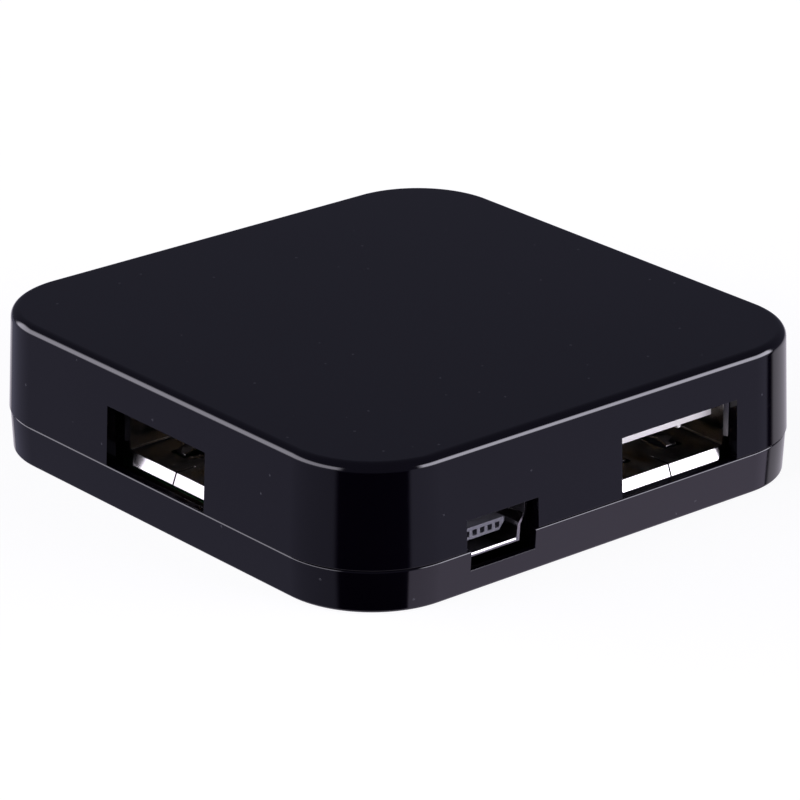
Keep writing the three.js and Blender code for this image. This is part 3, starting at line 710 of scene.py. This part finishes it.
def chip_material():
    """Moulded package in the middle, tinned leads on both long sides."""
    r = Recipe("chip_package", IOR=1.5)
    split = r.nodes.new("ShaderNodeSeparateXYZ")
    r.link(r.where.outputs["Generated"], split, "Vector")
    side = r.math("ABSOLUTE", r.math("SUBTRACT", split.outputs["Y"], 0.5), 0)
    lead = r.ramp(side, (0.345, 0), (0.35, 1))
    package = r.ramp(r.noise(4000, 3), (0.3, (0.010, 0.010, 0.011)), (0.7, (0.020, 0.020, 0.022)))
    colour = r.mix(lead, package, (0.75, 0.74, 0.72))
    rough = r.ramp(r.noise(3000, 2), (0.3, 0.4), (0.7, 0.6))
    return r.done(colour, rough, r.bump(r.noise(9000, 2), 0.25, 0.01 * MM), metallic=lead)


def can_material():
    r = Recipe("drawn_can", Metallic=1.0)
    colour = r.ramp(r.noise(400, 3), (0.3, (0.60, 0.61, 0.63)), (0.7, (0.74, 0.75, 0.77)))
    rough = r.ramp(r.noise(900, 3), (0.3, 0.2), (0.7, 0.36))
    return r.done(colour, rough, r.bump(r.noise(2500, 2, 0.5, (1, 1, 0.1)), 0.1, 0.01 * MM))


MATERIALS = {
    "casing": casing_material(),
    "tin": tin_material(),
    "white_plastic": plastic_material("natural_plastic", (0.88, 0.86, 0.78), (0.95, 0.93, 0.87), 0.42),
    "grey_plastic": plastic_material("grey_plastic", (0.15, 0.15, 0.17), (0.22, 0.22, 0.24), 0.4),
    "gold": gold_material(),
    "laminate": board_material(),
    "chip": chip_material(),
    "can": can_material(),
    "ceramic": ended_material("ceramic_chip", (0.42, 0.29, 0.17), "X", 0.2),
    "resistor": ended_material("film_chip", (0.02, 0.022, 0.025), "X", 0.19),
    "fuse": ended_material("fuse_chip", (0.05, 0.16, 0.08), "X", 0.133),
}


# ---------------------------------------------------------------- pieces kept from the CAD model

def finish_cad(replaced):
    """Gives each CAD node that still shows its finish, and breaks its sharp edges."""
    slots = {part["node"]: part["material_slot"] for part in frame["record"]["subparts"]}
    for name, node in frame["nodes"].items():
        if name in replaced:
            continue
        node.data.materials.clear()
        node.data.materials.append(MATERIALS[slots[name]])
        weld = node.modifiers.new("weld", "WELD")
        weld.merge_threshold = 0.001 * MM
        flats = node.modifiers.new("flats", "DECIMATE")
        flats.decimate_type = "DISSOLVE"
        flats.angle_limit = math.radians(1)
        edges = node.modifiers.new("edges", "BEVEL")
        edges.width = CAD_EDGE * MM
        edges.segments = 2
        edges.limit_method = "ANGLE"
        edges.angle_limit = math.radians(30)


# ---------------------------------------------------------------- stage, light and camera

AZIMUTH = math.radians(49.547)     # of the camera, from -Y towards +X
ELEVATION = math.radians(22.718)
ROLL = math.radians(0.264)
DISTANCE = 393.3
LENS = 206.74
TARGET_RIGHT, TARGET_UP = 0.33, 4.52
STAGE_REACH = 3000                 # half the width of the floor
STAGE_DROP = 0.02                  # of the floor below the hub


def make_camera():
    back = Vector((math.sin(AZIMUTH) * math.cos(ELEVATION), -math.cos(AZIMUTH) * math.cos(ELEVATION),
                   math.sin(ELEVATION)))
    level = Vector((math.cos(AZIMUTH), math.sin(AZIMUTH), 0))
    rise = back.cross(level)
    right = level * math.cos(ROLL) + rise * math.sin(ROLL)
    up = rise * math.cos(ROLL) - level * math.sin(ROLL)
    place = back * DISTANCE
    away = (place - right * TARGET_RIGHT - up * TARGET_UP).normalized()
    right = (right - away * right.dot(away)).normalized()
    up = away.cross(right)
    data = bpy.data.cameras.new("camera")
    data.lens = LENS
    data.sensor_width = 36
    data.clip_start = 0.01
    data.clip_end = 50
    camera = bpy.data.objects.new("camera", data)
    turn = Matrix((right, up, away)).transposed().to_4x4()
    camera.matrix_world = Matrix.Translation(place * MM) @ turn
    bpy.context.scene.collection.objects.link(camera)
    bpy.context.scene.camera = camera


def make_floor():
    corners = ((-STAGE_REACH, -STAGE_REACH), (STAGE_REACH, -STAGE_REACH),
               (STAGE_REACH, STAGE_REACH), (-STAGE_REACH, STAGE_REACH))
    floor = to_object("floor", [(x, y, -STAGE_DROP) for x, y in corners], [(0, 1, 2, 3)])
    r = Recipe("pale_floor", Roughness=0.9, Emission_Strength=0.9)
    r.shader.inputs["Emission Color"].default_value = (1, 1, 1, 1)
    r.shader.inputs["Specular IOR Level"].default_value = 0.0
    colour = r.ramp(r.noise(3, 2), (0.3, (0.24, 0.24, 0.245)), (0.7, (0.26, 0.26, 0.265)))
    floor.data.materials.append(r.done(colour))
    floor.visible_glossy = False
    floor.visible_diffuse = False


# Cards and light boxes round the hub. Each holds the azimuth from -Y towards +X and the elevation of
# its middle, half its width and height, the softness of its edge (all in degrees), and its radiance.
CARDS = {
    "left_box": (-32, 47, 13, 14, 11, (3.9, 3.75, 4.3)),
    "right_box": (130, 26, 9, 13, 9, (7.4, 7.2, 8.3)),
    "left_table": (-45, 56, -24, 19, 8, (0.235, 0.23, 0.32)),
    "right_table": (122, 30, -15, 8, 6, (0.34, 0.33, 0.46)),
    "right_table_near": (125, 33, -34, 11, 3, (0.80, 0.72, 0.95)),
    "back_table": (-150, 47, -24, 17, 8, (0.70, 0.66, 0.76)),
    "under": (0, 180, -70, 26, 6, (0.85, 0.80, 0.95)),
}
AMBIENT = (0.085, 0.085, 0.120)


def make_studio():
    """A dark room with a light box on either side, and the table as the hub's walls reflect it."""
    world = bpy.data.worlds.new("studio")
    world.use_nodes = True
    tree = world.node_tree
    nodes, links = tree.nodes, tree.links
    where = nodes.new("ShaderNodeTexCoord").outputs["Generated"]
    split = nodes.new("ShaderNodeSeparateXYZ")
    links.new(where, split.inputs[0])
    height = nodes.new("ShaderNodeMath")
    height.operation = "ARCSINE"
    links.new(split.outputs["Z"], height.inputs[0])

    def fade(angle, middle, half, soft):
        """1 within half of the middle, 0 beyond it, with a soft edge. Everything in radians."""
        offset = nodes.new("ShaderNodeMath")
        offset.operation = "SUBTRACT"
        links.new(angle, offset.inputs[0])
        offset.inputs[1].default_value = middle
        distance = nodes.new("ShaderNodeMath")
        distance.operation = "ABSOLUTE"
        links.new(offset.outputs[0], distance.inputs[0])
        edge = nodes.new("ShaderNodeMapRange")
        edge.interpolation_type = "SMOOTHSTEP"
        edge.inputs["From Min"].default_value = half - soft / 2
        edge.inputs["From Max"].default_value = half + soft / 2
        edge.inputs["To Min"].default_value = 1
        edge.inputs["To Max"].default_value = 0
        links.new(distance.outputs[0], edge.inputs["Value"])
        return edge.outputs["Result"]

    total = None
    for azimuth, half_width, elevation, half_height, soft, radiance in CARDS.values():
        turn = nodes.new("ShaderNodeMapping")
        turn.vector_type = "POINT"
        turn.inputs["Rotation"].default_value[2] = math.radians(90 - azimuth)
        links.new(where, turn.inputs["Vector"])
        round_it = nodes.new("ShaderNodeTexGradient")
        round_it.gradient_type = "RADIAL"
        links.new(turn.outputs["Vector"], round_it.inputs["Vector"])
        across = fade(round_it.outputs["Fac"], 0.5, half_width / 360, soft / 360)
        upright = fade(height.outputs[0], math.radians(elevation), math.radians(half_height),
                       math.radians(soft))
        both = nodes.new("ShaderNodeMath")
        both.operation = "MULTIPLY"
        links.new(across, both.inputs[0])
        links.new(upright, both.inputs[1])
        card = nodes.new("ShaderNodeVectorMath")
        card.operation = "SCALE"
        card.inputs[0].default_value = radiance
        links.new(both.outputs[0], card.inputs["Scale"])
        if total is None:
            total = card.outputs["Vector"]
            continue
        added = nodes.new("ShaderNodeVectorMath")
        added.operation = "ADD"
        links.new(total, added.inputs[0])
        links.new(card.outputs["Vector"], added.inputs[1])
        total = added.outputs["Vector"]
    above = fade(height.outputs[0], math.radians(60), math.radians(70), math.radians(10))
    dim = nodes.new("ShaderNodeVectorMath")
    dim.operation = "SCALE"
    dim.inputs[0].default_value = AMBIENT
    links.new(above, dim.inputs["Scale"])
    added = nodes.new("ShaderNodeVectorMath")
    added.operation = "ADD"
    links.new(total, added.inputs[0])
    links.new(dim.outputs["Vector"], added.inputs[1])
    background = nodes["Background"]
    links.new(added.outputs["Vector"], background.inputs["Color"])
    bpy.context.scene.world = world


# ---------------------------------------------------------------- build

make_camera()
make_studio()
make_floor()
casing_top()
casing_bottom()
replaced = {"top_shell", "bottom_shell", "mini_b_shell", "mini_b_insulator"}
for socket_name, socket in SOCKETS.items():
    socket_shell(socket_name, socket)
    socket_insulator(socket_name, socket)
    replaced |= {f"usb_a_{socket_name}_shell", f"usb_a_{socket_name}_insulator"}
mini_shell()
mini_insulator()
finish_cad(replaced)

bpy.context.scene.view_settings.view_transform = "Standard"
